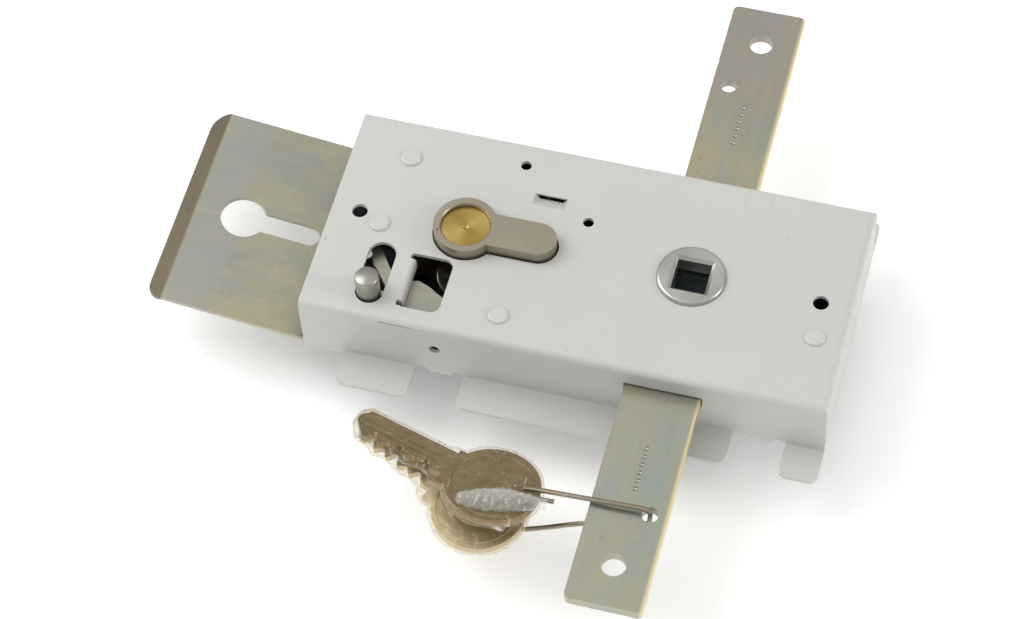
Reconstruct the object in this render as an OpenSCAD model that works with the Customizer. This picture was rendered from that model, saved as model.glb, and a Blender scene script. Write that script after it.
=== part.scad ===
// Rim lock for a double or up-and-over door. The square follower drives two shoot bars and a
// keyhole plate by rack and pinion. A profile half cylinder or the snib pin moves a locking slide
// that blocks the follower. Origin: the follower's axis, with z = 0 on the door's surface.

/* [Case] */
// Distance from the follower's axis to the open end of the case
case_left = 97.1; // [97.1:0.1:98]
// Distance from the follower's axis to the closed end of the case
case_right = 42.5; // [42.5:0.5:46]
// Width of the case over its long walls
case_width = 63.3; // [63.3:0.1:64]
// Height of the case above the door
case_height = 20.5; // [20.5:0.1:20.6]
// Sheet thickness of the case
sheet = 1.2; // [1.2:0.1:1.3]
// Outside bend radius along the edges of the face
bend_r = 1.9; // [1.6:0.1:2.4]
// How far each fixing flange reaches out from the wall
flange_reach = 9.75; // [8:0.25:12]
// Diameter of the two fixing holes
fixing_hole_d = 4.2; // [4:0.1:4.4]

/* [Shoot bars] */
// Width of each shoot bar
bar_width = 20; // [20:0.1:20.2]
// Thickness of each shoot bar
bar_thickness = 3; // [2.8:0.1:3]
// Distance from the follower's axis to the outer end of each bar
bar_reach = 94.8; // [90:1:110]
// Diameter of the rod hole at the end of each bar
rod_hole_d = 6.4; // [5:0.1:7]
// Diameter of the small hole in each bar
small_hole_d = 4.3; // [4:0.1:4.6]

/* [Follower] */
// Square socket for the handle spindle
socket = 9; // [8:0.5:9]
// Diameter of the follower's boss in the face
boss_d = 18.2; // [18:0.1:18.4]

/* [Latch plate] */
// Length of the raised tongue between its two bends
tongue_length = 39.7; // [36:0.5:44]
// Rise angle of the tongue
tongue_rise = 8.24; // [4:0.5:10]
// Width of the tongue
tongue_width = 61.8; // [60:0.2:62]

/* [Cylinder] */
// How far the cylinder reaches through the door from its cam's centre
cylinder_outer = 30; // [30:5:50]
// Diameter of the cylinder's round end
cylinder_d = 17; // [17:0.1:17.1]

/* [Hidden] */
$fn = 64;
clear = 0.05;
half_w = case_width / 2;
wall_in = half_w - sheet;
face_z = case_height;
face_in = case_height - sheet;
bar_z = 10.9;
bar_top = bar_z + bar_thickness;
bar_slot_z0 = 10.4;
bar_slot_z1 = 14.4;
base_t = 1;
slide_z = 14.4;
slide_t = 2;
slide_travel = 10.2;
gear_module = 1.5;
gear_teeth = 14;
pressure = 25;
pitch_r = gear_module * gear_teeth / 2;
tip_r = pitch_r + gear_module;
root_r = pitch_r - 1.2 * gear_module;
base_r = pitch_r * cos(pressure);
rack_pitch = PI * gear_module;
rack_tip = pitch_r - gear_module;
rack_root = pitch_r + 1.2 * gear_module;
tooth_relief = 0.15;
disc_r = 15.5;
cyl_x = -60.5;
cyl_r = cylinder_d / 2;
leg_half = 5;
leg_end_x = -41;
cyl_top = 24;
cam_mid_z = 14;
cyl_bottom = cam_mid_z - cylinder_outer;
plug_r = 6.45;
screw_x = -41.5;
pillars_xy = [[-81, 19.65], [-45.5, -23.15], [34.8, -10.65]];
post_xy = [-83.4, -2.55];
fixings_xy = [[-89.5, 0], [34.1, 0]];
stud_xy = [-30, -14];
pin_xy = [-80.2, -23.7];
fork_xy = [-72.5, -5.1];
nose_r = 3.4;
nose_reach = 12;
nose_stem = 2.2;
cam_ring_r = 7.8;
nose_rest = 180 + asin(slide_travel / 2 / nose_reach);
chamber_z = [-12, -8, -4, 0, 4];
key_lift = [1.4, 2.6, 1.9, 3.0, 2.2];
loop_xy = [5.4, -67.4];

white = [0.82, 0.82, 0.8];
zinc = [0.66, 0.64, 0.56];
nickel = [0.62, 0.6, 0.55];
brass = [0.72, 0.6, 0.32];
steel = [0.6, 0.6, 0.6];

// Extrudes a side profile drawn in (x, z) across y, centred on y = 0
module across_y(width) {
  rotate([90, 0, 0]) linear_extrude(height = width, center = true) children();
}

// Extrudes a section drawn in (y, z) along x, from x0 to x1
module along_x(x0, x1) {
  translate([x0, 0, 0]) rotate([90, 0, 90]) linear_extrude(height = x1 - x0) children();
}

// A box from one corner to the other
module box(a, b) {
  translate(a) cube(b - a);
}

// A rectangle from one corner to the other
module rect(a, b) {
  translate(a) square(b - a);
}

// A rectangle with all four corners rounded
module round_rect(a, b, r) {
  rect([a.x + r, a.y], [b.x - r, b.y]);
  rect([a.x, a.y + r], [b.x, b.y - r]);
  for (x = [a.x + r, b.x - r], y = [a.y + r, b.y - r]) translate([x, y]) circle(r);
}

// An obround between two centres that share x or y
module slot2d(a, b, r) {
  translate(a) circle(r);
  translate(b) circle(r);
  rect([min(a.x, b.x) - (a.x == b.x ? r : 0), min(a.y, b.y) - (a.y == b.y ? r : 0)],
    [max(a.x, b.x) + (a.x == b.x ? r : 0), max(a.y, b.y) + (a.y == b.y ? r : 0)]);
}

// A vertical round bar or hole at a point
module post(p, r, z0, z1) {
  translate([p.x, p.y, z0]) cylinder(r = r, h = z1 - z0);
}

// A round rod between two points
module rod(a, b, r) {
  d = b - a;
  h = norm(d);
  translate(a) rotate([0, acos(d.z / h), atan2(d.y, d.x)]) cylinder(r = r, h = h);
}

function unit(v) = v / norm(v);

// One round of corner cutting on a path
function soften(p) = concat([p[0]], [for (i = [0 : len(p) - 2], f = [0.25, 0.75])
  (1 - f) * p[i] + f * p[i + 1]], [p[len(p) - 1]]);

// A pair of axes square to the path at each point, carried along so that they don't twist
function path_axes(p, i, side) = i == len(p) ? [] :
  let (t = unit(p[min(i + 1, len(p) - 1)] - p[max(i - 1, 0)]), s = unit(side - (side * t) * t))
  concat([[s, cross(t, s)]], path_axes(p, i + 1, s));

// A bent wire of n sides along a path
module wire(p, r, n) {
  axes = path_axes(p, 0, [0, 1, 0.3]);
  last = (len(p) - 1) * n;
  polyhedron([for (i = [0 : len(p) - 1], k = [0 : n - 1])
    p[i] + r * (cos(k * 360 / n) * axes[i][0] + sin(k * 360 / n) * axes[i][1])],
    concat([[for (k = [0 : n - 1]) k]], [[for (k = [n - 1 : -1 : 0]) last + k]],
      [for (i = [0 : len(p) - 2], k = [0 : n - 1])
        [i * n + k, (i + 1) * n + k, (i + 1) * n + (k + 1) % n, i * n + (k + 1) % n]]));
}

// ---- Case ----
tabs_x = [[-86.2, -66.6], [-53.3, 18.5], [32.4, case_right]];
wall_gaps_x = [[-case_left, -86.2], [-66.6, -53.3], [18.5, 32.4]];
relief_x = [-64.85, -55.05, 20.25, 30.6];
relief_r = 1.95;
tab_bend_in = 0.8;
tab_bend_out = tab_bend_in + sheet;
tab_corner = 2.2;

module wall_section(w, h, r) {
  rect([-w, tab_bend_out], [w, h - r]);
  rect([-w + r, tab_bend_out], [w - r, h]);
  for (s = [-1, 1]) translate([s * (w - r), h - r]) circle(r);
}

module end_section(x, h, r) {
  rect([-case_left - 1, tab_bend_out], [x, h - r]);
  rect([-case_left - 1, tab_bend_out], [x - r, h]);
  translate([x - r, h - r]) circle(r);
}

module shell_solid(w, x0, x1, h, r) {
  intersection() {
    along_x(x0, x1) wall_section(w, h, r);
    across_y(2 * w + 2) end_section(x1, h, r);
  }
}

module flange_bend(x0, x1) {
  c = half_w + tab_bend_in;
  along_x(x0, x1) difference() {
    intersection() {
      translate([c, tab_bend_out]) circle(tab_bend_out);
      rect([c - tab_bend_out, 0], [c, tab_bend_out]);
    }
    translate([c, tab_bend_out]) circle(tab_bend_in);
  }
}

module flange(x0, x1) {
  y0 = half_w + tab_bend_in;
  y1 = half_w + flange_reach;
  flange_bend(x0, x1);
  linear_extrude(height = sheet) {
    rect([x0, y0], [x1, y1 - tab_corner]);
    rect([x0 + tab_corner, y0], [x1 - tab_corner, y1]);
    for (x = [x0 + tab_corner, x1 - tab_corner]) translate([x, y1 - tab_corner]) circle(tab_corner);
  }
}

module side_skirts() {
  for (g = wall_gaps_x) box([g[0], wall_in, g[0] < -90 ? 0.3 : 0], [g[1], half_w, tab_bend_out]);
}

module cylinder_outline(grow) {
  translate([cyl_x, 0]) circle(cyl_r + grow);
  rect([cyl_x, -leg_half - grow], [leg_end_x, leg_half + grow]);
  translate([leg_end_x, 0]) circle(leg_half + grow);
}

slot_x = -79.95;
slot_r = 3.75;
slot_y = [-23.7, -11.9];
window_min = [-70.9, -26.45];
window_max = [-60.8, -9.65];
window_r = 2.5;
lug_bottom = 16.7;
lug_r = sheet + 0.15;
lug_y = [-24.5, -11.3];
lug_relief_y = [-25.2, -10.7];

module window2d() {
  rect(window_min, [window_max.x - window_r, window_max.y]);
  rect([window_min.x - lug_r, lug_y[0]], [window_min.x + 1, lug_y[1]]);
  rect([window_max.x - 4, window_min.y + window_r], [window_max.x, window_max.y - window_r]);
  for (y = [window_min.y + window_r, window_max.y - window_r]) {
    translate([window_max.x - window_r, y]) circle(window_r);
  }
}

module window_lug() {
  x1 = window_min.x;
  y_mid = (lug_y[0] + lug_y[1]) / 2;
  translate([0, y_mid, 0]) across_y(lug_y[1] - lug_y[0]) difference() {
    union() {
      rect([x1 - sheet, lug_bottom], [x1, face_z - lug_r]);
      rect([x1 - lug_r - 0.3, face_in], [x1 - lug_r, face_z]);
      intersection() {
        translate([x1 - lug_r, face_z - lug_r]) circle(lug_r);
        rect([x1 - lug_r, face_z - lug_r], [x1, face_z]);
      }
    }
    translate([x1 - lug_r, face_z - lug_r]) circle(lug_r - sheet);
  }
}

louvre_x = [-46, -37];
louvre_y = [12.6, 16.3];
louvre_depth = 2;
louvre_end = 1.4;

// The wedge that a louvre's flap leaves in the face where it is pressed down, open above to z = top
module louvre_wedge(top) {
  floor_z = face_z - louvre_depth;
  intersection() {
    along_x(louvre_x[0], louvre_x[1]) polygon([[louvre_y[0], face_z], [louvre_y[1], floor_z],
      [louvre_y[1], top], [louvre_y[0], top]]);
    across_y(case_width) polygon([[louvre_x[0], top], [louvre_x[0], face_z],
      [louvre_x[0] + louvre_end, floor_z], [louvre_x[1] - louvre_end, floor_z],
      [louvre_x[1], face_z], [louvre_x[1], top]]);
  }
}

// The torn edge under the face along the louvre's far side
module louvre_burr() {
  along_x(louvre_x[0] + 0.5, louvre_x[1] - 0.5) polygon([[louvre_y[1] - 0.01, face_in + 0.65],
    [louvre_y[1] + 0.8, face_in - 0.1], [louvre_y[1] - 0.01, face_in - 0.1]]);
}

module face_cuts() {
  top = face_z + 2;
  for (p = fixings_xy) post(p, fixing_hole_d / 2, face_in - 1, top);
  post([-50.6, 24.3], 1.45, face_in - 1, top);
  post([-30.1, 10.4], 1.45, face_in - 1, top);
  post([0, 0], boss_d / 2 + clear, face_in - 1, top);
  for (p = concat(pillars_xy, [post_xy])) post(p, 2, face_in - 1, top);
  translate([0, 0, face_in - 1]) linear_extrude(height = 4) {
    slot2d([slot_x, slot_y[0]], [slot_x, slot_y[1]], slot_r);
    translate([0.1, -0.1]) cylinder_outline(0.4);
    for (y = lug_relief_y) translate([window_min.x - 0.5, y]) circle(1.05);
  }
  translate([0, 0, face_in - 4]) linear_extrude(height = 7) window2d();
  louvre_wedge(top);
  louvre_burr();
}

module wall_cuts() {
  box([-10.3, -half_w - 1, bar_slot_z0], [10.3, half_w + 1, bar_slot_z1]);
  translate([-60.8, -wall_in + 1, 11.3]) rotate([90, 0, 0]) cylinder(r = 1.5, h = 4);
  box([-75.4, -half_w - 1, 18.9], [-66.8, 0.55 - wall_in, 19.2]);
  translate([screw_x, half_w + 1, cam_mid_z]) rotate([90, 0, 0]) cylinder(r = 2.65, h = 4);
  for (x = relief_x) translate([x, 0, 0]) rotate([90, 0, 0]) {
    cylinder(r = relief_r, h = 2 * half_w + 2, center = true);
  }
  for (s = [-1, 1]) {
    box([case_right - sheet - 1, s * (wall_in - 0.1) - 0.1, -1],
      [case_right + 1, s * (wall_in - 0.1) + 0.1, face_z - bend_r - 0.6]);
  }
}

module case_part() {
  difference() {
    union() {
      difference() {
        shell_solid(half_w, -case_left, case_right, case_height, bend_r);
        shell_solid(wall_in, -case_left - 1, case_right - sheet, face_in, bend_r - sheet);
      }
      side_skirts();
      mirror([0, 1, 0]) side_skirts();
      box([case_right - sheet, -wall_in, 0.3], [case_right, wall_in, tab_bend_out]);
      translate([0, 0, -sheet]) louvre_wedge(face_z + 0.2);
    }
    face_cuts();
    wall_cuts();
  }
  window_lug();
  for (t = tabs_x) {
    flange(t[0], t[1]);
    mirror([0, 1, 0]) flange(t[0], t[1]);
  }
}

// ---- Pillars, posts and screws ----
head_r = 2.85;
head_rise = 0.7;

module staked_head(p) {
  translate([p.x, p.y, face_z]) rotate_extrude() {
    square([head_r - head_rise, head_rise]);
    intersection() {
      translate([head_r - head_rise, 0]) circle(head_rise);
      square([head_r, head_rise]);
    }
  }
}

module pillars() {
  for (p = pillars_xy) {
    difference() {
      post(p, 2.5, base_t, face_in);
      post(p, 1.5, base_t - 1, 9);
    }
    post(p, 1.95, face_in, face_z);
    staked_head(p);
  }
}

module spring_rivet() {
  post(post_xy, 2, 16.5, 16.9);
  post(post_xy, 2.5, 16.9, face_in);
  post(post_xy, 1.95, face_in, face_z);
  staked_head(post_xy);
}

module base_screws() {
  for (p = pillars_xy) translate([p.x, p.y, 0]) difference() {
    rotate_extrude() polygon([[0, 0], [2.5, 0], [1.45, base_t], [1.45, 8], [0, 8]]);
    for (a = [0, 90]) rotate(a) translate([-1.5, -0.3, -1]) cube([3, 0.6, 1.6]);
  }
}

module guide_stud() {
  post(stud_xy, 1.5, 0, base_t);
  post(stud_xy, 3, base_t, 14.2);
  post(stud_xy, 1.5, 14.2, face_in - 0.1);
}

base_left = -95;
guide_x = [17.2, 19.2];
guide_y = [-23.65, 8.6];
tenons_y = [[-23.4, -20.4], [-4, 4]];

module base_plate() {
  difference() {
    linear_extrude(height = base_t) difference() {
      round_rect([base_left, -wall_in + 0.15], [case_right - sheet - 0.1, wall_in - 0.15], 2);
      circle(8.95 + clear);
      cylinder_outline(0.3);
      for (p = fixings_xy) translate(p) circle(fixing_hole_d / 2);
      translate(stud_xy) circle(1.55);
      for (a = [0, 180], t = tenons_y) rotate(a) rect([guide_x[0], t[0]], [guide_x[1], t[1]]);
    }
    for (p = pillars_xy) translate([p.x, p.y, -0.01]) {
      cylinder(r1 = 2.61, r2 = 1.55, h = base_t + 0.02);
    }
  }
}

module rack_guide(notch) {
  difference() {
    union() {
      box([guide_x[0], guide_y[0], base_t], [guide_x[1], guide_y[1], 14.2]);
      box([12.6, guide_y[0], 9.7], [guide_x[0], guide_y[1], 10.8]);
      for (t = tenons_y) box([guide_x[0], t[0], 0], [guide_x[1], t[1], base_t]);
    }
    if (notch) box([guide_x[0] - 1, -19, 0], [guide_x[1] + 1, -8, 5]);
  }
}

module rack_guides() {
  rack_guide(false);
  rotate(180) rack_guide(true);
}

module slide_spring() {
  translate([0, 0, 16.5]) linear_extrude(height = 0.4) difference() {
    union() {
      translate(post_xy) circle(3.3);
      rect([-86.7, post_xy.y], [-82.2, 9]);
      translate([-84.45, 9]) circle(2.25);
    }
    translate(post_xy) circle(2.05);
  }
}

// ---- Cylinder ----
gap_z = [9, 19];
gap_x = -51.7;
plug_end = 10;
stub_r = 4;

module chamber(z, x0, x1, r) {
  rod([x0, 0, z], [x1, 0, z], r);
}

module cylinder_body() {
  difference() {
    translate([0, 0, cyl_bottom]) linear_extrude(height = cyl_top - cyl_bottom) cylinder_outline(0);
    box([cyl_x - 10, -10, gap_z[0]], [gap_x, 10, gap_z[1]]);
    post([cyl_x, 0], 6.5, cyl_bottom - 1, gap_z[0] + 1);
    post([cyl_x, 0], 6.5, gap_z[1] - 1, cyl_top + 1);
    translate([screw_x, 10, cam_mid_z]) rotate([90, 0, 0]) cylinder(r = 2.5, h = 20);
    for (z = chamber_z) chamber(z, cyl_x + 4, -35, 1.45);
    translate([cyl_x, 0, cyl_top - 0.3]) cylinder(r1 = 6.5, r2 = 6.81, h = 0.31);
    post([cyl_x - 6.6, -3.3], 0.3, cyl_top - 0.3, cyl_top + 1);
  }
}

module cylinder_screw() {
  translate([screw_x, half_w, cam_mid_z]) rotate([-90, 0, 0]) difference() {
    rotate_extrude() {
      square([3.4, 1.2]);
      rect([0, 0], [4, 0.6]);
      intersection() {
        translate([3.4, 0.6]) circle(0.6);
        rect([3.4, 0.6], [4, 1.2]);
      }
      rect([0, -30], [2.45, 0]);
    }
    for (a = [0, 90]) rotate(a) translate([-2, -0.4, 0.4]) cube([4, 0.8, 2]);
  }
}

pin_r = 1.38;
shear_in = 6.22;
shear_out = 6.68;
spring_end = 22.4;
driver_length = 5;

module driver_pins() {
  for (i = [0 : 4]) {
    x = cyl_x + shear_out;
    chamber(chamber_z[i], x, x + driver_length, pin_r);
    chamber(chamber_z[i], x + driver_length, x + driver_length + 2, 0.6);
  }
}

module key_pins() {
  for (i = [0 : 4]) {
    chamber(chamber_z[i], cyl_x + key_lift[i], cyl_x + shear_in, pin_r);
    translate([cyl_x + key_lift[i], 0, chamber_z[i]]) rotate([0, -90, 0]) {
      cylinder(r1 = pin_r, r2 = 0.5, h = 0.9);
    }
  }
}

coil_r = 1.15;
coil_turns = 6;
coil_wire = 0.3;
coil_steps = 48;

module pin_springs() {
  x0 = cyl_x + shear_out + driver_length + 0.02;
  span = cyl_x + spring_end - 0.02 - x0;
  outer = coil_r + coil_wire / 2;
  inner = coil_r - coil_wire / 2;
  sector = [[outer, 0], outer * [cos(60), sin(60)], outer * [cos(110), sin(110)],
    inner * [cos(110), sin(110)], inner * [cos(60), sin(60)], [inner, 0]];
  for (z = chamber_z) translate([x0, 0, z]) rotate([0, 90, 0]) {
    linear_extrude(height = span, twist = -360 * coil_turns, slices = coil_steps, segments = 6) {
      polygon(sector);
    }
  }
}

module chamber_caps() {
  for (z = chamber_z) chamber(z, cyl_x + spring_end, -36.25, 1.43);
}

module plug() {
  difference() {
    union() {
      post([cyl_x, 0], plug_r, cyl_bottom, plug_end);
      post([cyl_x, 0], stub_r, plug_end, cam_mid_z);
    }
    box([cyl_x - 4.4, -0.9, cyl_bottom - 1], [cyl_x + 4.6, 0.9, 7]);
    box([cyl_x - 2.4, -0.9, cyl_bottom - 1], [cyl_x - 0.8, 1.8, 7]);
    for (z = chamber_z) chamber(z, cyl_x + 0.2, cyl_x + 8, 1.45);
    translate([cyl_x, 0, 9.1]) difference() {
      cylinder(r = 8, h = 0.8);
      cylinder(r = 5.4, h = 0.8);
    }
  }
}

module plug_clip() {
  translate([cyl_x, 0, 9.15]) linear_extrude(height = 0.7) difference() {
    circle(7.1);
    circle(5.45);
    rect([-8, -3.2], [0, 3.2]);
  }
}

module cam() {
  difference() {
    translate([0, 0, 9.1]) linear_extrude(height = 9.8) translate([cyl_x, 0]) {
      circle(cam_ring_r);
      rotate(nose_rest) translate([0, -nose_stem]) square([nose_reach, 2 * nose_stem]);
      rotate(nose_rest) translate([nose_reach, 0]) circle(nose_r);
    }
    post([cyl_x, 0], 7.3, 9, 10.1);
    post([cyl_x, 0], stub_r + 0.1, 10, 20);
  }
}

module rear_plug() {
  top = 22.7;
  difference() {
    union() {
      post([cyl_x, 0], stub_r, cam_mid_z + 0.1, gap_z[1] + 0.1);
      post([cyl_x, 0], plug_r - 0.05, gap_z[1] + 0.1, top);
    }
    translate([cyl_x, 0, top - 0.5]) cylinder(r1 = 0.1, r2 = 0.8, h = 0.51);
  }
}

// ---- Follower ----
function involute(r) = sqrt(pow(r / base_r, 2) - 1) * 180 / PI - acos(base_r / r);
half_tooth = 90 / gear_teeth;
flank_r = [for (i = [0 : 6]) base_r + (tip_r - base_r) * i / 6];
function flank_angle(r) = half_tooth + involute(pitch_r) - involute(r);

module pinion2d() {
  flank = [for (r = flank_r) [r, flank_angle(max(r, base_r + 0.0001))]];
  foot = [root_r, flank_angle(base_r + 0.0001)];
  polygon([for (k = [0 : gear_teeth - 1], side = [-1, 1], i = [0 : 7])
    let (n = side < 0 ? i : 7 - i,
      f = n == 0 ? foot : flank[n - 1],
      a = k * 360 / gear_teeth + side * f[1])
    [f[0] * cos(a), f[0] * sin(a)]]);
}

module lower_follower() {
  difference() {
    union() {
      post([0, 0], 8.95, 0, 1.4);
      translate([0, 0, 1.4]) linear_extrude(height = 12) pinion2d();
    }
    box([-socket / 2, -socket / 2, -1], [socket / 2, socket / 2, 15]);
  }
}

notch_half = 3.3;
notch_bottom = 11;
boss_top = 21.6;
boss_round = 0.8;
socket_chamfer_w = 0.85;

// The four-sided funnel that breaks the socket's upper edges
module socket_chamfer() {
  low = socket / 2 - 0.05;
  high = socket / 2 + socket_chamfer_w;
  intersection_for(a = [0, 90]) {
    rotate(a) across_y(boss_d) polygon([[-high, boss_top + 0.01],
      [high, boss_top + 0.01], [low, boss_top - socket_chamfer_w], [-low, boss_top - socket_chamfer_w]]);
  }
}

module upper_follower() {
  difference() {
    union() {
      translate([0, 0, 14.1]) linear_extrude(height = 4.8) difference() {
        circle(disc_r);
        for (a = [0 : 90 : 270]) rotate(a) rect([notch_bottom, -notch_half], [disc_r + 1, notch_half]);
      }
      post([0, 0], boss_d / 2, 18.9, boss_top - boss_round);
      rotate_extrude() {
        rect([0, boss_top - boss_round], [boss_d / 2 - boss_round, boss_top]);
        intersection() {
          translate([boss_d / 2 - boss_round, boss_top - boss_round]) circle(boss_round);
          rect([boss_d / 2 - boss_round, boss_top - boss_round], [boss_d / 2, boss_top]);
        }
      }
    }
    box([-socket / 2, -socket / 2, 10], [socket / 2, socket / 2, 30]);
    post([0, 0], 8.2, 13, 16.4);
    socket_chamfer();
  }
}

// ---- Shoot bars ----
tail_back = 16.9;
tail_y = [-22.7, 13.65];
narrow_y = 23.5;
narrow_half = 8.5;
hole_y = 83.2;
small_y = 67.4;
small_x = -5.4;
bar_corner = 1.5;

// A rack tooth that points to -x, centred on y = 0, with its pitch line at x = 0
module rack_tooth() {
  h0 = rack_pitch / 4 - tooth_relief;
  tip = h0 - gear_module * tan(pressure);
  foot = h0 + 1.2 * gear_module * tan(pressure);
  polygon([[-gear_module, -tip], [1.2 * gear_module + 0.01, -foot], [1.2 * gear_module + 0.01, foot],
    [-gear_module, tip]]);
}

module shoot_bar() {
  half = bar_width / 2;
  translate([0, 0, bar_z]) linear_extrude(height = bar_thickness) difference() {
    union() {
      difference() {
        union() {
          round_rect([-half, narrow_y], [half, bar_reach], bar_corner);
          rect([-half, narrow_y], [half, narrow_y + 3]);
          rect([-narrow_half, 4], [half, narrow_y + 1]);
          rect([half - 1, 6.3], [tail_back, tail_y[1]]);
        }
        circle(12.5);
      }
      rect([rack_root, tail_y[0]], [tail_back, tail_y[1]]);
      for (i = [-5 : 0]) translate([pitch_r, (i + 0.5) * rack_pitch]) rack_tooth();
    }
    translate([0, hole_y]) circle(rod_hole_d / 2);
    translate([small_x, small_y]) circle(small_hole_d / 2);
    translate([half, 62.1]) circle(0.4);
    translate([-half, 74.75]) circle(0.4);
  }
}

module stamped_row() {
  for (i = [0 : 5]) translate([0, 49 + 2.4 * i, bar_top + 0.35]) sphere(0.8, $fn = 32);
}

module top_bar() {
  difference() {
    shoot_bar();
    stamped_row();
  }
}

module bottom_bar() {
  rotate(180) top_bar();
}

// ---- Latch plate ----
plate_z = 1.1;
plate_t = 1.2;
plate_half = 30.3;
lip_length = 5.1;
lip_drop = 30;
plate_right = -56;
far_leg_y = 10.1;
keyhole_s = 26.67;
keyhole_r = 6.2;
keyslot_r = 3;
keyslot_s = 8.3;

module plate_profile() {
  down = tongue_rise - lip_drop;
  rect([-case_left, plate_z], [plate_right, plate_z + plate_t]);
  translate([-case_left, plate_z]) {
    rotate(-tongue_rise) rect([-tongue_length, 0], [0, plate_t]);
    translate([-tongue_length * cos(tongue_rise), tongue_length * sin(tongue_rise)]) {
      rotate(-down) rect([-lip_length, 0], [0, plate_t]);
      polygon(concat([[0, 0.01]], [for (i = [0 : 8])
        let (a = tongue_rise + 6 - (lip_drop + 12) * i / 8)
        plate_t * [sin(a), cos(a)]]));
    }
  }
}

module tongue_frame() {
  translate([-case_left, 0, plate_z]) rotate([0, tongue_rise, 0]) children();
}

module plate_outline() {
  tongue_half = tongue_width / 2;
  tip_x = -case_left - tongue_length * cos(tongue_rise) - lip_length * cos(lip_drop - tongue_rise);
  round_rect([tip_x, -tongue_half], [-case_left + 8, tongue_half], 5);
  rect([-case_left - 6, -tongue_half], [-case_left - 0.2, tongue_half]);
  rect([-case_left - 1, -plate_half], [-72, plate_half]);
  rect([-75, -30.2], [-63.1, -far_leg_y]);
  rect([-75, far_leg_y], [plate_right, plate_half]);
}

module latch_plate() {
  difference() {
    intersection() {
      across_y(tongue_width) plate_profile();
      translate([0, 0, -5]) linear_extrude(height = 25) difference() {
        plate_outline();
        rect([-case_left - 0.3, plate_half], [0, 40]);
        rect([-case_left - 0.3, -40], [0, -plate_half]);
        rect([-72 + 0.9, -far_leg_y], [0, far_leg_y]);
        slot2d([-89.5, 0], [-60, 0], 2.6);
        slot2d([-81, 19.65], [-64.4, 19.65], 2.7);
        for (x = rivet_x) translate([x, rivet_y]) circle(1.5);
      }
    }
    tongue_frame() translate([0, 0, -2]) linear_extrude(height = 6) {
      translate([-keyhole_s, 0]) circle(keyhole_r);
      slot2d([-keyhole_s, 0], [-keyslot_s, 0], keyslot_r);
    }
  }
}

pull_z = plate_z + plate_t;
pull_t = 2;
pull_end = 22.9;
rivet_x = [-70, -61];
rivet_y = 13.8;

module pull_rack() {
  translate([0, 0, pull_z]) linear_extrude(height = pull_t) difference() {
    union() {
      rect([-74, 11], [-54, 16.6]);
      rect([-55, rack_root], [pull_end, 18.5]);
      for (i = [-1 : 4]) translate([i * rack_pitch, pitch_r]) rotate(90) rack_tooth();
    }
    for (x = rivet_x) translate([x, rivet_y]) circle(1.5);
  }
}

module plate_rivets() {
  for (x = rivet_x) {
    post([x, rivet_y], 1.45, plate_z, pull_z + pull_t);
    translate([x, rivet_y, pull_z + pull_t]) rotate_extrude() {
      square([2, 0.8]);
      intersection() {
        translate([2, 0]) circle(0.8);
        square([2.8, 0.8]);
      }
    }
  }
}

// ---- Locking slide ----
fork_in = nose_r + 0.35;
fork_out = 6.1;

module slide_body() {
  polygon([[-82.8, -29.9], [3, -29.9], [3, -21.7], [-3, -21.7], [-3, -26.1], [-7, -24.9], [-16, -18.3],
    [-26.5, -17.5], [-26.5, -11.2], [-33.5, -11.2], [-33.5, -17], [-49, -17], [-55, -18.6],
    [-61.8, -18.8], [-63.8, -17.8], [-65.8, -16.5], [-69.1, -15.2], [-71.2, -15.6], [-71.2, -8],
    [-76.2, -8], [-76.2, -15.2], [-84.8, -3], [-86.8, -5], [-83.9, -8.7], [-82.7, -12.2],
    [-80.1, -15.2], [-77.4, -18.6], [-77.4, -20.4], [-82.8, -20.4]]);
}

module slide_fork() {
  difference() {
    translate(fork_xy) circle(fork_out);
    rect([-71.2, -20], [-60, fork_xy.y]);
    rect([-69.6, fork_xy.y - 0.1], [-60, 5]);
  }
}

module locking_slide() {
  translate([0, 0, slide_z]) linear_extrude(height = slide_t) difference() {
    union() {
      slide_body();
      slide_fork();
    }
    translate(fork_xy) circle(fork_in);
    rect([fork_xy.x, fork_xy.y - fork_in + 0.02], [-60, fork_xy.y + fork_in - 0.02]);
    slot2d(stud_xy, stud_xy - [0, slide_travel + 0.2], 1.7);
    rect([-48.9, -31], [-42.1, -20.3]);
    translate(pin_xy) circle(1.5);
  }
}

pin_head_r = 3.2;
pin_round = 0.8;
pin_top = 27.7;
pin_crown_r = 9;
pin_shoulder = pin_top - 0.3;

module snib_pin() {
  post(pin_xy, 1.48, slide_z, slide_z + slide_t);
  translate([pin_xy.x, pin_xy.y, 0]) rotate_extrude() {
    rect([0, slide_z + slide_t], [pin_head_r, pin_shoulder - pin_round]);
    intersection() {
      union() {
        rect([0, slide_z + slide_t], [pin_head_r - pin_round, pin_top]);
        translate([pin_head_r - pin_round, pin_shoulder - pin_round]) circle(pin_round);
      }
      translate([0, pin_top - pin_crown_r]) circle(pin_crown_r);
      rect([0, pin_shoulder - pin_round - 1], [pin_head_r, pin_top]);
    }
  }
}

// ---- Keys ----
bow_r = 12.3;
key_tip = 41;
key_t = 2.2;
blade_half = 4.2;
key_hole_x = -7.5;
key_hole_r = 2.4;
sleeve_t = 0.6;
sleeve_gap = 0.05;
cut_x = [18, 22, 26, 30, 34];
cut_depth = [2.2, 1.2, 2.6, 1.6, 2.0];

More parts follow.
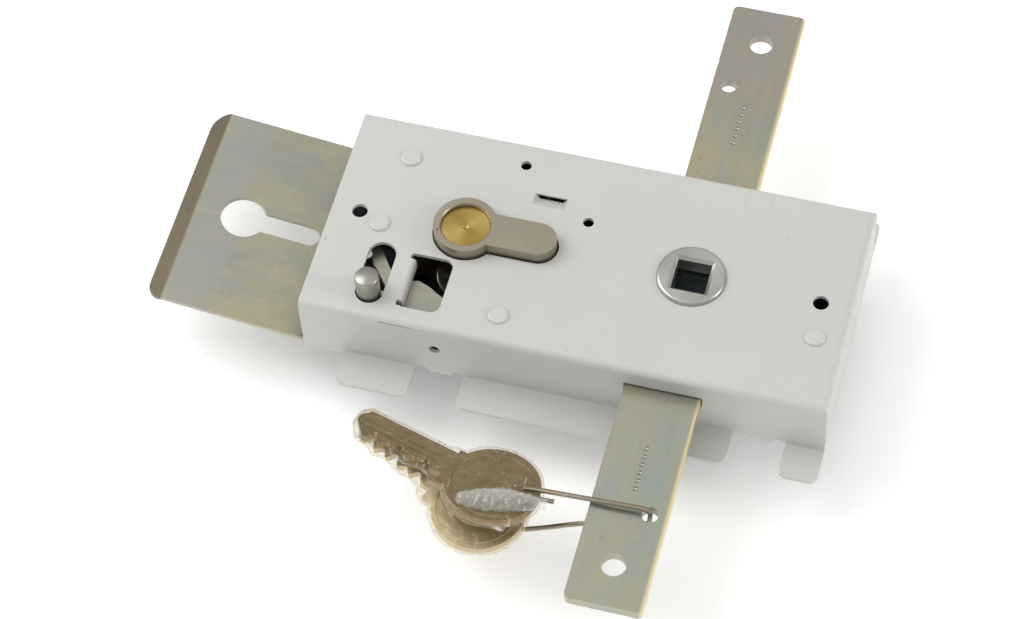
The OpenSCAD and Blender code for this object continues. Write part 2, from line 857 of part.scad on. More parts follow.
module key_outline(grow, with_cuts) {
  difference() {
    union() {
      circle(bow_r + grow);
      polygon([[8, -blade_half - grow], [key_tip - 2, -blade_half - grow], [key_tip + grow, -1.5],
        [key_tip + grow, grow], [key_tip - 4, blade_half + grow], [8, blade_half + grow]]);
      rect([8, -5.5 - grow], [13 + grow, 7 + grow]);
    }
    if (with_cuts) for (i = [0 : 4]) translate([cut_x[i], blade_half]) {
      polygon([[-1.8, 0.01], [-0.4, -cut_depth[i]], [0.4, -cut_depth[i]], [1.8, 0.01]]);
    }
    translate([key_hole_x, 0]) circle(key_hole_r - grow);
  }
}

module key_blank() {
  difference() {
    linear_extrude(height = key_t, center = true) key_outline(0, true);
    for (s = [-1, 1]) {
      translate([16, 0.9, s * key_t / 2 - 0.35]) cube([30, 1.1, 0.7]);
      translate([16, -0.9, s * key_t / 2 - 0.25]) cube([30, 0.7, 0.5]);
      translate([0, 0, s * key_t / 2]) rotate_extrude() translate([10.6, 0]) circle(0.25, $fn = 24);
    }
  }
}

module key_sleeve() {
  difference() {
    linear_extrude(height = key_t + 2 * sleeve_t, center = true) key_outline(1.1, false);
    linear_extrude(height = key_t + 2 * sleeve_gap, center = true) key_outline(sleeve_gap, false);
    translate([key_hole_x, 0, 0]) cylinder(r = key_hole_r + 0.4, h = 20, center = true);
  }
}

module place_key_1() {
  translate([-38.5, -70.5, 4]) rotate([0, 0, 154.4]) children();
}

module place_key_2() {
  translate([-35.4, -67.4, 10.8]) rotate([0, 0, 163.3]) rotate([14, 2.7, 0]) children();
}

module key_1() {
  place_key_1() key_blank();
}

module key_2() {
  place_key_2() key_blank();
}

module key_sleeve_1() {
  place_key_1() key_sleeve();
}

module key_sleeve_2() {
  place_key_2() key_sleeve();
}

wire_r = 0.65;

module key_wire() {
  x = loop_xy.x;
  y = loop_xy.y;
  route = [[-18.9, -69.1, 13.2], [-24, -69.6, 13.8], [-28.1, -69.1, 14], [-28.3, -70.2, 8.4],
    [-31.6, -73.7, 7.2], [-31.8, -73.9, 1.3], [-22.5, -70.9, 1.2], [-10.9, -70.6, 8.6],
    [x - 2.4, y - 0.3, 9.1], [x - 0.2, y - 0.1, 9.6], [x, y, 12.4], [x, y + 0.1, 15.4],
    [x - 2.2, y + 0.4, 15.7], [-9.6, -67.4, 15.4], [-24.7, -66.9, 13.5], [-27.3, -67.2, 13.3]];
  wire(soften(soften(route)), wire_r, 10);
}

color(white) case_part();  // case
color(steel) pillars();
color(steel) spring_rivet();
color(zinc) base_plate();
color(steel) base_screws();
color(steel) guide_stud();
color(zinc) rack_guides();
color(steel) slide_spring();
color(nickel) cylinder_body();
color(steel) cylinder_screw();
color(brass) driver_pins();
color(steel) pin_springs();
color(brass) chamber_caps();
color(brass) plug();
color(brass) key_pins();
color(steel) cam();
color(steel) plug_clip();
color(brass) rear_plug();
color(steel) lower_follower();
color(nickel) upper_follower();
color(zinc) top_bar();
color(zinc) bottom_bar();
color(zinc) latch_plate();
color(zinc) pull_rack();
color(steel) plate_rivets();
color(zinc) locking_slide();
color(nickel) snib_pin();
color(nickel) key_1();
color(nickel) key_2();
color([0.9, 0.9, 0.85, 0.4]) key_sleeve_1();
color([0.9, 0.9, 0.85, 0.4]) key_sleeve_2();
color(steel) key_wire();
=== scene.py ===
import math

import bmesh
import bpy
from mathutils import Matrix, Vector, noise as solid_noise


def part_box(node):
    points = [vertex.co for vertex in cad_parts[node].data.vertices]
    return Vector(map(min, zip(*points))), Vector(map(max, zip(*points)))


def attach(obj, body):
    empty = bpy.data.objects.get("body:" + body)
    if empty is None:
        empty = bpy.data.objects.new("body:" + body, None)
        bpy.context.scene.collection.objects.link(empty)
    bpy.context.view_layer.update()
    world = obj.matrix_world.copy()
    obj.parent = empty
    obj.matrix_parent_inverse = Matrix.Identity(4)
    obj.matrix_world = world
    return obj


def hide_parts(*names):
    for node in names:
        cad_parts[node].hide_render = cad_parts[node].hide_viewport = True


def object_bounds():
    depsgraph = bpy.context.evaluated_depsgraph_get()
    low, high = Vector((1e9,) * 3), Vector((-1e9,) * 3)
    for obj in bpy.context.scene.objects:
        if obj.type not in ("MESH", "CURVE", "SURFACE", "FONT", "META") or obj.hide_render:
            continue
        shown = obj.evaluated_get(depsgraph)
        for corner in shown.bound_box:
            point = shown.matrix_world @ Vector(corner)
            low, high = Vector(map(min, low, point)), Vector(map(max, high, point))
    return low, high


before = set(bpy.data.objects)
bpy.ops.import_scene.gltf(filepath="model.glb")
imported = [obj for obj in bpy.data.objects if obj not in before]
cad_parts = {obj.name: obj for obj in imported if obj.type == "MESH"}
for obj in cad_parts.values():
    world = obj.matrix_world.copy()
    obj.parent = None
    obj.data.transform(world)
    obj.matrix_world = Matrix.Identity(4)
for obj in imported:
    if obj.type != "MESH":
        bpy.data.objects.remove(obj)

CAD_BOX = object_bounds()
MM = 0.001
scene = bpy.context.scene


# ---------------------------------------------------------------- mesh and node helpers
def mesh_object(name, bm):
    """Turns a finished bmesh into a linked object, and frees it."""
    me = bpy.data.meshes.new(name)
    bm.to_mesh(me)
    bm.free()
    ob = bpy.data.objects.new(name, me)
    scene.collection.objects.link(ob)
    return ob


def new_material(name):
    m = bpy.data.materials.new(name)
    m.use_nodes = True
    t = m.node_tree
    t.nodes.clear()
    out = t.nodes.new("ShaderNodeOutputMaterial")
    sh = t.nodes.new("ShaderNodeBsdfPrincipled")
    t.links.new(sh.outputs[0], out.inputs["Surface"])
    return m, t, sh


def add(t, kind, **values):
    n = t.nodes.new(kind)
    for k, v in values.items():
        if k in n.inputs:
            n.inputs[k].default_value = v
        else:
            setattr(n, k, v)
    return n


def coords(t):
    return add(t, "ShaderNodeTexCoord").outputs["Object"]


def stretched(t, vector, scale, rotate=(0, 0, 0)):
    m = add(t, "ShaderNodeMapping")
    m.inputs["Scale"].default_value = scale
    m.inputs["Rotation"].default_value = rotate
    t.links.new(vector, m.inputs["Vector"])
    return m.outputs[0]


def noise(t, vector, scale, detail=3.0, rough=0.55, distortion=0.0):
    n = add(t, "ShaderNodeTexNoise", Scale=scale, Detail=detail, Roughness=rough, Distortion=distortion)
    t.links.new(vector, n.inputs["Vector"])
    return n.outputs["Fac"]


def ramp(t, fac, stops):
    r = add(t, "ShaderNodeValToRGB")
    e = r.color_ramp.elements
    while len(e) < len(stops):
        e.new(0.5)
    for i, (p, c) in enumerate(stops):
        e[i].position = p
        e[i].color = (*c, 1) if len(c) == 3 else c
    t.links.new(fac, r.inputs[0])
    return r.outputs[0]


def grey(v):
    return (v, v, v)


def level(t, fac, low, high, start=0.0, end=1.0):
    n = add(t, "ShaderNodeMapRange")
    n.inputs["From Min"].default_value = start
    n.inputs["From Max"].default_value = end
    n.inputs["To Min"].default_value = low
    n.inputs["To Max"].default_value = high
    t.links.new(fac, n.inputs["Value"])
    return n.outputs[0]


def mix(t, fac, a, b, mode="MIX"):
    n = add(t, "ShaderNodeMix", data_type="RGBA", blend_type=mode)
    for socket, v in ((n.inputs[0], fac), (n.inputs[6], a), (n.inputs[7], b)):
        if hasattr(v, "links"):
            t.links.new(v, socket)
        elif isinstance(v, (int, float)):
            socket.default_value = v
        else:
            socket.default_value = (*v, 1)
    return n.outputs[2]


def math_node(t, op, a, b=0.0):
    n = add(t, "ShaderNodeMath", operation=op)
    for socket, v in ((n.inputs[0], a), (n.inputs[1], b)):
        if hasattr(v, "links"):
            t.links.new(v, socket)
        else:
            socket.default_value = v
    return n.outputs[0]


def bump(t, sh, height, distance, strength=1.0):
    b = add(t, "ShaderNodeBump", Strength=strength, Distance=distance)
    t.links.new(height, b.inputs["Height"])
    t.links.new(b.outputs[0], sh.inputs["Normal"])


def axis(t, vector, name):
    n = add(t, "ShaderNodeSeparateXYZ")
    t.links.new(vector, n.inputs[0])
    return n.outputs[name]


def within(t, value, low, high, soft=0.05 * MM):
    """1 between low and high, falling to 0 over the soft width on either side."""
    a = level(t, value, 0, 1, low - soft, low + soft)
    b = level(t, value, 1, 0, high - soft, high + soft)
    return math_node(t, "MULTIPLY", a, b)


def box_mask(t, p, low, high):
    """1 inside the box from low to high."""
    mask = within(t, axis(t, p, "X"), low[0], high[0])
    mask = math_node(t, "MULTIPLY", mask, within(t, axis(t, p, "Y"), low[1], high[1]))
    return math_node(t, "MULTIPLY", mask, within(t, axis(t, p, "Z"), low[2], high[2]))


def from_centre(t, p, centre):
    """The X and Y of p, counted from a centre."""
    x = math_node(t, "SUBTRACT", axis(t, p, "X"), centre[0])
    y = math_node(t, "SUBTRACT", axis(t, p, "Y"), centre[1])
    return x, y


def distance_2d(t, p, centre):
    x, y = from_centre(t, p, centre)
    return math_node(t, "SQRT", math_node(t, "ADD", math_node(t, "MULTIPLY", x, x), math_node(t, "MULTIPLY", y, y)))


# ---------------------------------------------------------------- materials
LUG_BOX = ((-72.4 * MM, -27 * MM, 16 * MM), (-70.7 * MM, -9 * MM, 20 * MM))
LOUVRE_BOX = ((-46.3 * MM, 12.4 * MM, 18.5 * MM), (-36.7 * MM, 16.25 * MM, 19.5 * MM))
INNER_Y = 30.55 * MM
CEILING = 19.38 * MM
WELD_AT = (11.9 * MM, 27.7 * MM)
UNLIT_PAINT = (0.028, 0.028, 0.03)
UNLIT_PLATE = (0.012, 0.012, 0.012)
UNLIT_BASE = (0.018, 0.018, 0.02)


def inside_case(t):
    """1 in the space inside the case, without the lug by the window and the louvre's pocket.

    It goes by world position, so a part that slides out of the case shows its own finish there. It stands for
    missing light and isn't a coating.
    """
    p = add(t, "ShaderNodeNewGeometry").outputs["Position"]
    low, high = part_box("case")
    room = box_mask(t, p, (low[0] - 1 * MM, -INNER_Y, -1 * MM), (high[0] - 1.1 * MM, INNER_Y, CEILING))
    outside = math_node(t, "MAXIMUM", box_mask(t, p, *LUG_BOX), box_mask(t, p, *LOUVRE_BOX))
    return math_node(t, "MULTIPLY", room, math_node(t, "SUBTRACT", 1.0, outside))


def powder_coat(name, base, gloss=0.12, chipped=0.775):
    """White stoved paint with orange peel; chipped is the noise level above which the paint has gone."""
    m, t, sh = new_material(name)
    p = coords(t)
    cloud = noise(t, p, 22, 3)
    peel = noise(t, p, 900, 2)
    scuff = noise(t, stretched(t, p, (60, 420, 60), (0, 0, 0.5)), 1.0, 5, 0.7, 1.2)
    col = mix(t, cloud, [c * 0.955 for c in base], [min(1, c * 1.03) for c in base])
    mark = ramp(t, scuff, [(0.0, grey(0)), (0.70, grey(0)), (0.78, grey(0.55))])
    col = mix(t, mark, col, [base[0] * 0.8, base[1] * 0.79, base[2] * 0.77])
    dirt = ramp(t, noise(t, p, 160, 5, 0.7), [(0.0, grey(0)), (0.72, grey(0)), (0.8, grey(0.4))])
    col = mix(t, dirt, col, [base[0] * 0.86, base[1] * 0.85, base[2] * 0.82])
    chip = ramp(t, noise(t, p, 420, 2, 0.5), [(0.0, grey(0)), (chipped, grey(0)), (chipped + 0.015, grey(0.8))])
    col = mix(t, chip, col, [c * 0.42 for c in base])
    weld = within(t, distance_2d(t, p, WELD_AT), 3.6 * MM, 3.85 * MM, 0.12 * MM)
    col = mix(t, math_node(t, "MULTIPLY", weld, 0.3), col, [c * 0.6 for c in base])
    col = mix(t, inside_case(t), col, UNLIT_PAINT)
    t.links.new(col, sh.inputs["Base Color"])
    t.links.new(level(t, noise(t, p, 120, 4), 0.36, 0.52), sh.inputs["Roughness"])
    sh.inputs["Coat Weight"].default_value = gloss
    sh.inputs["Coat Roughness"].default_value = 0.25 if gloss < 0.5 else 0.1
    bump(t, sh, peel, 0.00004, 0.5)
    return m


def plated(name, warm, cool, tint=0.5, rough=(0.32, 0.5), flow=(1.0, 1.0, 1.0), scale=1.0, metal=0.85,
           streak=0.2, extras=None):
    """Zinc or nickel plating: cloudy patches from warm to cool, a faint rainbow, rolling lines and pits.

    flow is small along the direction in which the sheet was rolled.
    """
    m, t, sh = new_material(name)
    p = coords(t)
    q = stretched(t, p, flow)
    patch = noise(t, q, 42 * scale, 5, 0.62, 0.6)
    hue = noise(t, q, 62 * scale, 4, 0.6, 1.2)
    fine = noise(t, p, 520 * scale, 4, 0.68)
    rolled = noise(t, stretched(t, q, tuple(1 if f < 1 else 9 for f in flow)), 55, 5, 0.7)
    col = mix(t, ramp(t, patch, [(0.30, grey(0)), (0.70, grey(1))]), warm, cool)
    rainbow = ramp(t, hue, [
        (0.26, (1.05, 0.95, 0.98)), (0.40, (1.06, 1.03, 0.86)), (0.50, (1.0, 1.0, 1.0)),
        (0.58, (0.96, 1.03, 0.95)), (0.66, (0.93, 0.99, 1.09)), (0.78, (1.03, 0.96, 1.02))])
    col = mix(t, tint, col, rainbow, "MULTIPLY")
    col = mix(t, level(t, rolled, 0, streak, 0.35, 0.75), col, [c * 0.7 for c in warm])
    pits = ramp(t, fine, [(0, grey(0)), (0.60, grey(0)), (0.72, grey(0.35))])
    col = mix(t, pits, col, [c * 0.55 for c in cool])
    if extras:
        col = extras(t, p, col)
    t.links.new(col, sh.inputs["Base Color"])
    sh.inputs["Metallic"].default_value = metal
    t.links.new(level(t, math_node(t, "ADD", fine, patch), rough[0], rough[1], 0.6, 1.4),
                sh.inputs["Roughness"])
    bump(t, sh, math_node(t, "ADD", fine, math_node(t, "MULTIPLY", rolled, 0.8)), 0.00004, 0.5)
    return m


def bar_edges(t, p, col):
    """A straw highlight painted along the +X edge, a dull shade painted along the -X edge, and a straw then a pink
    stretch towards the top bar's end.
    """
    x, y = axis(t, p, "X"), axis(t, p, "Y")
    # the straw band on the +X edge is a painted highlight and the dull band on the -X edge is painted shade
    edge_highlight = level(t, x, 0, 0.75, 9.0 * MM, 9.8 * MM)
    edge_shade = level(t, x, 0.35, 0, -10 * MM, -9.3 * MM)
    pink = math_node(t, "MULTIPLY", level(t, y, 0, 1, 52 * MM, 68 * MM), 0.9)
    straw = math_node(t, "MULTIPLY", within(t, y, 34 * MM, 52 * MM, 7 * MM), 0.9)
    col = mix(t, pink, col, (1.10, 0.96, 0.98), "MULTIPLY")
    col = mix(t, straw, col, (1.14, 1.04, 0.90), "MULTIPLY")
    col = mix(t, edge_highlight, col, (0.93, 0.79, 0.46))
    return mix(t, edge_shade, col, (0.35, 0.33, 0.27))


def plate_zones(t, p, col):
    """A brown lip, a greyer band beside its bend, and painted shade, almost black, wherever the plate is inside the
    case.
    """
    x = axis(t, p, "X")
    cloud = noise(t, p, 60, 3)
    band = within(t, math_node(t, "ADD", x, level(t, cloud, -2.5 * MM, 2.5 * MM)), -136.2 * MM, -124 * MM, 1.6 * MM)
    col = mix(t, math_node(t, "MULTIPLY", band, 0.5), col, (0.40, 0.41, 0.40))
    col = mix(t, level(t, x, 0.95, 0, -136.6 * MM, -136.1 * MM), col, (0.19, 0.155, 0.105))
    return mix(t, inside_case(t), col, UNLIT_PLATE)


def unlit_inside(t, p, col):
    """The base plate's inner side, painted as dark as the shade in the rest of the inside."""
    return mix(t, inside_case(t), col, UNLIT_BASE)


def turned(name, base, centre, ring=2600.0, rough=(0.22, 0.38), sheen_sectors=0.0):
    """A faced or turned end: fine rings round a centre, with a light tarnish; the last argument sets two lighter
    opposite sectors, a painted sheen of the turned face.
    """
    m, t, sh = new_material(name)
    p = coords(t)
    r = distance_2d(t, p, centre)
    rings = math_node(t, "SINE", math_node(t, "MULTIPLY", r, ring * math.tau))
    cloud = noise(t, p, 260, 4, 0.6)
    col = mix(t, cloud, [c * 0.78 for c in base], [min(1, c * 1.15) for c in base])
    if sheen_sectors:
        # two lighter opposite sectors round the centre: a painted sheen of the turned face
        x, y = from_centre(t, p, centre)
        sheen_fan = math_node(t, "SINE", math_node(t, "MULTIPLY", math_node(t, "ARCTAN2", y, x), 2.0))
        col = mix(t, level(t, sheen_fan, 0, sheen_sectors, -1, 1), col, [min(1, c * 1.5 + 0.08) for c in base])
    t.links.new(col, sh.inputs["Base Color"])
    sh.inputs["Metallic"].default_value = 0.95
    t.links.new(level(t, cloud, rough[0], rough[1]), sh.inputs["Roughness"])
    bump(t, sh, math_node(t, "ADD", rings, math_node(t, "MULTIPLY", cloud, 0.4)), 0.000012, 0.5)
    return m


def sintered(name, base, scale=900.0, rusty=1.0):
    """Porous pressed metal, with brown staining by rusty."""
    m, t, sh = new_material(name)
    p = coords(t)
    pits = noise(t, p, scale, 5, 0.75)
    rust = noise(t, p, 140, 4, 0.6)
    col = mix(t, math_node(t, "MULTIPLY", rust, rusty), base, [base[0] * 1.5, base[1] * 1.15, base[2] * 0.85])
    col = mix(t, ramp(t, pits, [(0.35, grey(0.8)), (0.5, grey(0))]), col, [c * 0.3 for c in base])
    t.links.new(col, sh.inputs["Base Color"])
    sh.inputs["Metallic"].default_value = 0.7
    t.links.new(level(t, pits, 0.45, 0.75), sh.inputs["Roughness"])
    bump(t, sh, pits, 0.00012, 0.6)
    return m


def bright_steel(name, base, rough=(0.2, 0.36), scale=500.0):
    m, t, sh = new_material(name)
    p = coords(t)
    fine = noise(t, p, scale, 4, 0.65)
    cloud = noise(t, p, 70, 3)
    col = mix(t, cloud, [c * 0.85 for c in base], [min(1, c * 1.1) for c in base])
    col = mix(t, ramp(t, fine, [(0.0, grey(0)), (0.6, grey(0)), (0.75, grey(0.35))]), col, [c * 0.5 for c in base])
    t.links.new(col, sh.inputs["Base Color"])
    sh.inputs["Metallic"].default_value = 0.95
    t.links.new(level(t, fine, rough[0], rough[1]), sh.inputs["Roughness"])
    bump(t, sh, fine, 0.00002, 0.5)
    return m


def clear_film(name, tint, veil):
    """Thin glossy plastic: clear where it faces the eye, with bright rims, folds and trapped highlights; the
    highlights along the folds are painted into the colour and the alpha.
    """
    m, t, sh = new_material(name)
    p = coords(t)
    crease = noise(t, stretched(t, p, (1, 1.8, 1), (0, 0, 0.4)), 230, 3, 0.55, 1.6)
    fold = noise(t, stretched(t, p, (1, 0.35, 1), (0, 0, 0.5)), 420, 4, 0.6, 2.2)
    rim = add(t, "ShaderNodeLayerWeight", Blend=0.35)
    milk = ramp(t, crease, [(0.0, grey(veil)), (0.58, grey(veil)), (0.66, grey(veil + 0.12))])
    # almost white streaks along the folds: painted highlights
    painted_glint = ramp(t, fold, [(0.0, grey(0)), (0.63, grey(0)), (0.68, grey(0.5)), (0.73, grey(0))])
    cover = math_node(t, "ADD", milk, math_node(t, "MULTIPLY", rim.outputs["Facing"], 0.5))
    t.links.new(math_node(t, "MINIMUM", math_node(t, "ADD", cover, painted_glint), 0.85), sh.inputs["Alpha"])
    col = mix(t, crease, [c * 0.8 for c in tint], tint)
    t.links.new(mix(t, painted_glint, col, (1.0, 1.0, 0.94)), sh.inputs["Base Color"])
    t.links.new(level(t, crease, 0.04, 0.12), sh.inputs["Roughness"])
    sh.inputs["Metallic"].default_value = 0.35
    sh.inputs["IOR"].default_value = 1.5
    sh.inputs["Coat Weight"].default_value = 1.0
    sh.inputs["Coat Roughness"].default_value = 0.04
    bump(t, sh, math_node(t, "ADD", crease, math_node(t, "MULTIPLY", fold, 0.5)), 0.0005, 0.9)
    return m


WHITE = (0.575, 0.575, 0.55)
CYL = (-60.5 * MM, 0.0)
ALONG_Y = (1.5, 0.5, 1.5)
ALONG_X = (0.5, 1.5, 1.5)

MATS = {
    "case": powder_coat("white_coat", WHITE),
    "pillars": powder_coat("white_coat_heads", WHITE, 0.9, 0.7),
    # the base plate's dark grey is painted shade for the closed inside of the case
    "base_plate": plated("base_dark_shade", (0.10, 0.10, 0.10), (0.13, 0.13, 0.135), 0.1, (0.45, 0.65), metal=0.6,
                         extras=unlit_inside),
    "screws": bright_steel("zinc_screw", (0.62, 0.62, 0.60)),
    "stud": turned("turned_steel", (0.52, 0.51, 0.49), (-30 * MM, -14 * MM)),
    "guides": plated("guide_zinc", (0.22, 0.22, 0.20), (0.20, 0.21, 0.21), 0.3, flow=ALONG_Y),
    "spring": bright_steel("spring_strip", (0.05, 0.05, 0.055), (0.4, 0.6)),
    "cylinder": plated("matt_nickel", (0.35, 0.305, 0.235), (0.385, 0.345, 0.275), 0.12, (0.34, 0.44), scale=2.0,
                       metal=0.85, streak=0.08),
    "brass": turned("turned_brass", (0.42, 0.28, 0.07), CYL, 2600.0, (0.22, 0.34), 0.6),
    "brass_pins": turned("pin_brass", (0.55, 0.41, 0.17), CYL),
    "cam": sintered("sintered_cam", (0.05, 0.04, 0.034)),
    "clip": bright_steel("clip_steel", (0.3, 0.3, 0.31)),
    "hub": sintered("cast_hub", (0.10, 0.125, 0.135), 600.0, 0.15),
    "boss": turned("boss_zinc", (0.46, 0.465, 0.43), (0, 0), 1800.0, (0.2, 0.4), 0.25),
    "bar": plated("yellow_zinc_bar", (0.45, 0.415, 0.335), (0.36, 0.385, 0.345), 0.95, (0.26, 0.44), ALONG_Y,
                  extras=bar_edges),
    "plate": plated("yellow_zinc_plate", (0.50, 0.455, 0.335), (0.37, 0.38, 0.35), 0.8, (0.3, 0.5), ALONG_X, 1.6,
                    streak=0.4, extras=plate_zones),
    "slide": plated("slide_zinc", (0.46, 0.435, 0.34), (0.32, 0.335, 0.31), 0.5, (0.3, 0.5), ALONG_X, 2.2, streak=0.4),
    "pin": plated("snib_nickel", (0.42, 0.40, 0.34), (0.35, 0.36, 0.34), 0.3, (0.2, 0.42), scale=5.0, metal=0.95,
                  streak=0.35),
    "key": plated("key_nickel", (0.22, 0.15, 0.06), (0.31, 0.23, 0.12), 0.2, (0.22, 0.4), scale=3.0, metal=0.85,
                  streak=0.3),
    # a lighter copy of the key plating for the lower key: painted light that offsets the shade from the upper key and
    # the sleeves
    "key_painted_lit": plated("key_nickel_painted_lit", (0.58, 0.46, 0.27), (0.70, 0.60, 0.41), 0.2, (0.25, 0.42), scale=3.0,
                        metal=0.8, streak=0.25),
    "film_1": clear_film("warm_sleeve", (0.86, 0.76, 0.45), 0.16),
    "film_2": clear_film("clear_sleeve", (0.70, 0.62, 0.42), 0.04),
    "film_tail": clear_film("wound_sleeve", (0.95, 0.95, 0.90), 0.18),
    "wire": bright_steel("drawn_wire", (0.34, 0.29, 0.22), (0.25, 0.4), 900.0),
}

FINISH = {
    "case": "case", "pillars": "pillars", "spring_rivet": "pillars", "base_plate": "base_plate",
    "base_screws": "screws", "guide_stud": "stud", "rack_guides": "guides", "slide_spring": "spring",
    "cylinder_body": "cylinder", "cylinder_screw": "screws", "driver_pins": "brass_pins",
    "pin_springs": "spring", "chamber_caps": "brass_pins", "plug": "brass_pins", "key_pins": "brass_pins",
    "cam": "cam", "plug_clip": "clip", "rear_plug": "brass", "lower_follower": "hub",
    "upper_follower": "boss", "top_bar": "bar", "bottom_bar": "bar", "latch_plate": "plate",
    "pull_rack": "plate", "plate_rivets": "screws", "locking_slide": "slide", "snib_pin": "pin",
    "key_1": "key_painted_lit", "key_2": "key", "key_sleeve_1": "film_1", "key_sleeve_2": "film_2", "key_wire": "wire",
}

for node, finish in FINISH.items():
    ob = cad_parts[node]
    if not ob.material_slots:
        ob.data.materials.append(MATS[finish])
    for s in ob.material_slots:
        s.material = MATS[finish]


# ---------------------------------------------------------------- sleeves round the keys
BOW_R = 13.3
HALF_T = 1.66
EDGE = 1.5
GRID = 0.55
FILM_T = 0.25 * MM


def sleeve_outline():
    """The key's outline with a margin, counter-clockwise, in the key's own frame, in millimetres."""
    first = math.asin(7.6 / BOW_R)
    last = 2 * math.pi - math.asin(6.2 / BOW_R)
    steps = 56
    bow = [first + (last - first) * i / steps for i in range(steps + 1)]
    points = [(BOW_R * math.cos(a), BOW_R * math.sin(a)) for a in bow]
    blade = [(14.2, -6.2), (15.4, -5.3), (39.6, -5.3), (41.8, -2.8), (41.9, 1.2), (38.6, 4.9), (36, 4.2),
             (32, 5.3), (28, 4.4), (24, 5.3), (20, 4.6), (16.6, 5.2), (15.2, 7.2), (12.8, 7.8)]
    return points + blade


def edge_distance(x, y, outline):
    """How far a point is inside the outline."""
    best = 1e9
    for (ax, ay), (bx, by) in zip(outline, outline[1:] + outline[:1]):
        dx, dy = bx - ax, by - ay
        k = max(0.0, min(1.0, ((x - ax) * dx + (y - ay) * dy) / (dx * dx + dy * dy)))
        best = min(best, math.hypot(x - ax - k * dx, y - ay - k * dy))
    return best


def sleeve(name, node, place, seed, material):
    """A puffy envelope of thin plastic: flat over the key, rounded and wavy along its rim."""
    outline = sleeve_outline()
    bm = bmesh.new()
    ring = [bm.verts.new((x, y, -HALF_T)) for x, y in outline]
    flat = bm.faces.new(ring)
    lifted = bmesh.ops.extrude_face_region(bm, geom=[flat])["geom"]
    bmesh.ops.translate(bm, verts=[v for v in lifted if isinstance(v, bmesh.types.BMVert)], vec=(0, 0, 2 * HALF_T))
    bmesh.ops.recalc_face_normals(bm, faces=bm.faces)
    ob = mesh_object(name, bm)
    grid = ob.modifiers.new("grid", "REMESH")
    grid.mode = "VOXEL"
    grid.voxel_size = GRID
    soft = ob.modifiers.new("soft", "SMOOTH")
    soft.iterations = 4
    dg = bpy.context.evaluated_depsgraph_get()
    done = bpy.data.meshes.new_from_object(ob.evaluated_get(dg))
    ob.modifiers.clear()
    ob.data = done
    for v in done.vertices:
        x, y, z = v.co
        d = edge_distance(x, y, outline)
        round_off = math.sqrt(max(0.0, 1 - (1 - min(d / EDGE, 1.0)) ** 2))
        bumps = solid_noise.noise(Vector((x * 0.42, y * 0.5, z * 0.2 + seed)))
        ripple = solid_noise.noise(Vector((x * 0.95 + seed, y * 1.1, z * 0.3)))
        puff = 0.30 * bumps + 0.16 * ripple
        v.co.z = (z / HALF_T) * (HALF_T * (0.45 + 0.55 * round_off) + puff * round_off + 0.12)
        if d < EDGE:
            v.co.x += 0.3 * ripple
            v.co.y += 0.3 * bumps
        v.co = place @ (v.co * MM)
    for f in done.polygons:
        f.use_smooth = True
    done.materials.clear()
    done.materials.append(material)
    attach(ob, "key_loop")
    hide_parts(node)


def key_place(centre, turn, tilt=(0.0, 0.0)):
    """The key's frame: its bow's centre in millimetres, its turn about Z, and its tilt about X then Y."""
    at = Matrix.Translation(Vector(centre) * MM)
    about_z = Matrix.Rotation(math.radians(turn), 4, "Z")
    about_y = Matrix.Rotation(math.radians(tilt[1]), 4, "Y")
    about_x = Matrix.Rotation(math.radians(tilt[0]), 4, "X")
    return at @ about_z @ about_y @ about_x


def sleeve_tail():
    """The torn strip of the upper sleeve that is wound round the wire's end."""
    route = [(-42.4, -74.4, 16.4), (-38, -73.6, 16.3), (-33.5, -72.8, 16.2), (-29, -72, 15.8), (-24.6, -71.2, 15.3),
             (-20.2, -70.4, 14.6)]
    rows, columns = 49, 9
    bm = bmesh.new()
    sheet = []
    for i in range(rows):
        s = i / (rows - 1) * (len(route) - 1)
        k = min(int(s), len(route) - 2)
        here = Vector(route[k]).lerp(Vector(route[k + 1]), s - k)
        along = i / (rows - 1)
        width = 1.3 + 2.2 * math.sin(math.pi * along ** 0.8) + 0.5 * solid_noise.noise(Vector((i * 0.31, 4.0, 0)))
        line = []
        for j in range(columns):
            a = (j / (columns - 1) - 0.5) * 2
            crimp = 0.55 * solid_noise.noise(Vector((i * 0.45, j * 0.8, 7.0)))
            sag = -1.5 * a * a
            line.append(bm.verts.new((here + Vector((0.15 * width * a, width * a, sag + crimp))) * MM))
        sheet.append(line)
    for i in range(rows - 1):
        for j in range(columns - 1):
            bm.faces.new((sheet[i][j], sheet[i + 1][j], sheet[i + 1][j + 1], sheet[i][j + 1]))
    bmesh.ops.recalc_face_normals(bm, faces=bm.faces)
    ob = mesh_object("sleeve_tail", bm)
    for f in ob.data.polygons:
        f.use_smooth = True
    thick = ob.modifiers.new("thick", "SOLIDIFY")
    thick.thickness = FILM_T
    thick.offset = 0
    ob.data.materials.append(MATS["film_tail"])
    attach(ob, "key_loop")


LOWER_KEY = key_place((-38.5, -70.5, 4), 154.4)
UPPER_KEY = key_place((-35.4, -67.4, 10.8), 163.3, (14, 2.7))
sleeve("key_film_1", "key_sleeve_1", LOWER_KEY, 3.1, MATS["film_1"])
sleeve("key_film_2", "key_sleeve_2", UPPER_KEY, 8.7, MATS["film_2"])
sleeve_tail()


# ---------------------------------------------------------------- floor, light, camera
FLOOR_GAP = 0.3 * MM


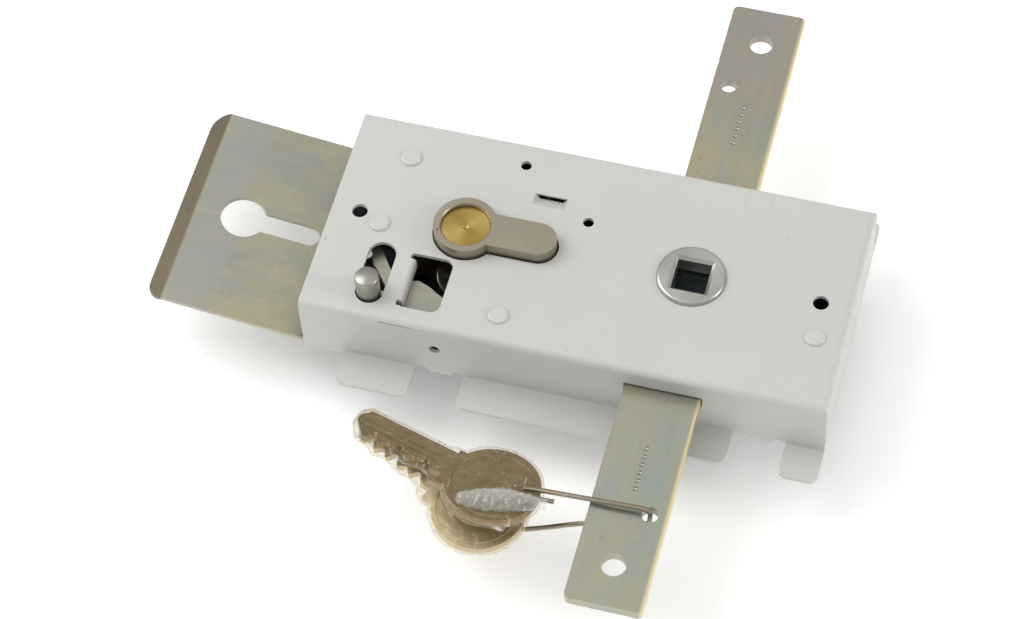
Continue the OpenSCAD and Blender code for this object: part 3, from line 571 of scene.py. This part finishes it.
def floor_piece():
    bm = bmesh.new()
    bmesh.ops.create_grid(bm, x_segments=24, y_segments=24, size=6)
    ob = mesh_object("floor", bm)
    ob.location = (0, 0, CAD_BOX[0][2] - FLOOR_GAP)
    m, t, sh = new_material("pale_floor")
    p = coords(t)
    col = mix(t, noise(t, p, 3, 2), (0.93, 0.93, 0.93), (0.95, 0.95, 0.95))
    t.links.new(col, sh.inputs["Base Color"])
    sh.inputs["Roughness"].default_value = 0.9
    sh.inputs["Emission Color"].default_value = (1, 1, 1, 1)
    sh.inputs["Emission Strength"].default_value = 0.22
    ob.data.materials.append(m)


def area_light(name, at, target, size, power, colour=(1, 1, 1)):
    d = bpy.data.lights.new(name, "AREA")
    d.shape = "RECTANGLE"
    d.size, d.size_y = size
    d.energy = power
    d.color = colour
    ob = bpy.data.objects.new(name, d)
    scene.collection.objects.link(ob)
    ob.location = at
    ob.rotation_euler = (Vector(target) - Vector(at)).to_track_quat("-Z", "Y").to_euler()


floor_piece()
area_light("key_light", (-0.75, 0.05, 0.95), (-0.03, 0, 0), (0.7, 0.7), 4.6)
area_light("left_light", (-0.85, 0.05, 0.42), (-0.03, 0, 0), (0.35, 0.35), 1.3)
area_light("right_light", (0.85, 0.02, 0.42), (-0.03, 0, 0), (0.35, 0.35), 2.3, (1.0, 0.97, 0.9))

world = bpy.data.worlds.new("studio")
world.use_nodes = True
wt = world.node_tree
bg = wt.nodes["Background"]
up = axis(wt, add(wt, "ShaderNodeTexCoord").outputs["Generated"], "Z")
sky = ramp(wt, up, [(0.0, grey(0.6)), (0.35, grey(0.5)), (0.75, grey(0.66)), (0.9, grey(0.92)), (1.0, grey(0.85))])
wt.links.new(sky, bg.inputs[0])
bg.inputs[1].default_value = 1.0
scene.world = world

cam_data = bpy.data.cameras.new("camera")
cam_data.lens = 112.2
cam_data.sensor_width = 36.0
cam_data.clip_start = 0.05
cam = bpy.data.objects.new("camera", cam_data)
scene.collection.objects.link(cam)
right = Vector((0.96514841, 0.25896476, -0.03775978))
down = Vector((0.19703218, -0.81400297, -0.54642244))
ahead = Vector((-0.17224073, 0.51993886, -0.83665806))
cam.matrix_world = Matrix.Translation((0.09895, -0.44764, 0.70765)) @ Matrix(
    (right, -down, -ahead)).transposed().to_4x4()
scene.camera = cam
scene.view_settings.view_transform = "Standard"
